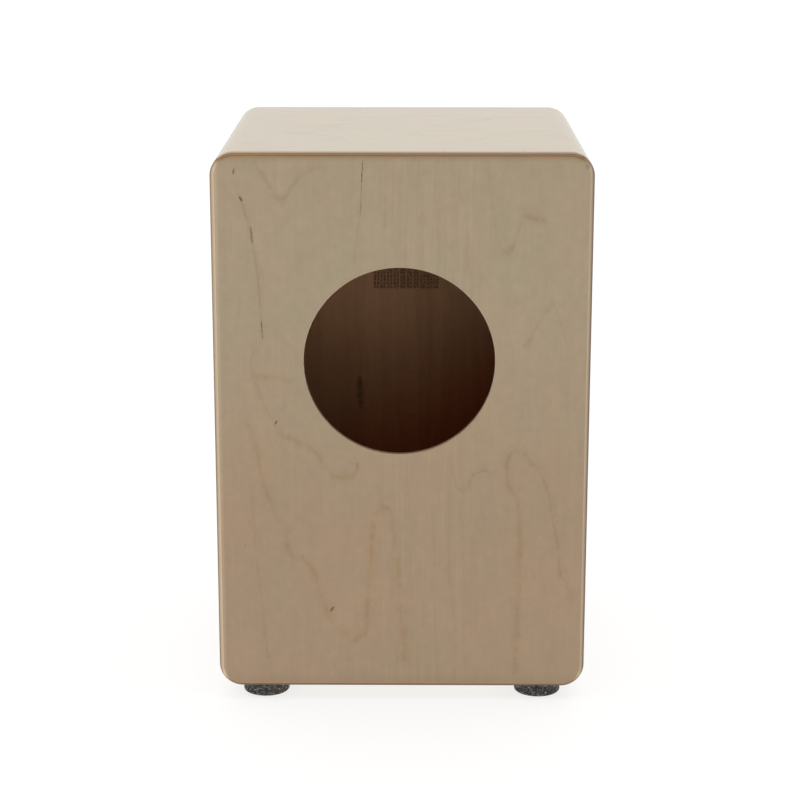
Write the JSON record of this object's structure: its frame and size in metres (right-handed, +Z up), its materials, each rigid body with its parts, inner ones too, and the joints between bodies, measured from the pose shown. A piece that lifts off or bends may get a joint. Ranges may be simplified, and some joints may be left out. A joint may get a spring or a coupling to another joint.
{
  "type": "cajon",
  "caption": "Box drum that is sat on: plywood box with a thin playing plate, round rear sound hole, rubber feet and an adjustable coil-wire snare inside.",
  "frame": {"origin": "centre of the box's footprint, on the floor plane under the feet", "axes": "+Z up; the playing plate faces -Y and the rear panel with the sound hole faces +Y; +X is to the right of a viewer who faces the playing plate, and left and right in the names are that viewer's"},
  "size_m": [0.3, 0.3, 0.454],
  "materials": {
    "maple_ply": "light maple-faced plywood under clear satin lacquer",
    "tapa_veneer": "red-brown veneer under satin lacquer",
    "beech": "planed, unlacquered",
    "granulate_rubber": "bonded granules, matte, grey flecks",
    "black_screw": "black phosphate, semi-matte",
    "zinc_steel": "bright zinc plated",
    "spring_steel": "drawn wire, bright",
    "brass": "rolled, slightly dulled",
    "black_plastic": "moulded, fine texture"
  },
  "bodies": {
    "box": {"top_panel": "maple_ply", "bottom_panel": "maple_ply", "left_side_panel": "maple_ply", "right_side_panel": "maple_ply", "rear_panel": "maple_ply", "tapa": "tapa_veneer", "top_left_corner_block": "beech", "top_right_corner_block": "beech", "bottom_left_corner_block": "beech", "bottom_right_corner_block": "beech", "tapa_screws": "black_screw", "front_left_foot": "granulate_rubber", "front_right_foot": "granulate_rubber", "rear_left_foot": "granulate_rubber", "rear_right_foot": "granulate_rubber", "snare_rail": "beech", "left_pivot_bracket": "zinc_steel", "right_pivot_bracket": "zinc_steel", "bracket_screws": "zinc_steel", "knob_washer": "zinc_steel", "pressure_spring": "spring_steel"},
    "slap_screw_left": {"slap_screw_left": "black_screw"},
    "slap_screw_right": {"slap_screw_right": "black_screw"},
    "adjuster": {"adjuster_knob": "black_plastic", "knob_insert": "brass"},
    "snare_unit": {"snare_bar": "beech", "pivot_pin": "zinc_steel", "eye_pin": "zinc_steel", "spring_seat_washer": "zinc_steel", "snare_end_plate": "brass", "end_plate_screws": "zinc_steel", "snare_strands": "spring_steel"},
    "pull_bolt": {"pull_eye_bolt": "zinc_steel"}
  },
  "joints": [
    {"name": "adjuster_knob_turn", "type": "hinge", "parent": "box", "child": "adjuster", "pos_m": [-0.0025, -0.09393, 0.4], "axis": [0, -1, 0], "range_deg": [0, 720]},
    {"name": "snare_bar_tilt", "type": "hinge", "parent": "box", "child": "snare_unit", "pos_m": [-0.0025, -0.13758, 0.42], "axis": [1, 0, 0], "range_deg": [0, 5.73], "stiffness_Nm_per_rad": 1.29, "springref_deg": -5.73, "deforming": ["pressure_spring"]},
    {"name": "pull_bolt_draw", "type": "slide", "parent": "box", "child": "pull_bolt", "axis": [0, 1, 0], "range_m": [0, 0.002]},
    {"name": "slap_screw_left_turn", "type": "hinge", "parent": "box", "child": "slap_screw_left", "pos_m": [-0.144, -0.15, 0.428], "axis": [0, -1, 0], "range_deg": [0, 270]},
    {"name": "slap_screw_right_turn", "type": "hinge", "parent": "box", "child": "slap_screw_right", "pos_m": [0.144, -0.15, 0.428], "axis": [0, -1, 0], "range_deg": [0, 270]}
  ],
  "couplings": [
    {"joint": "adjuster_knob_turn", "follows": "snare_bar_tilt", "ratio": 125.66},
    {"joint": "pull_bolt_draw", "follows": "snare_bar_tilt", "m_per_rad": 0.02}
  ]
}
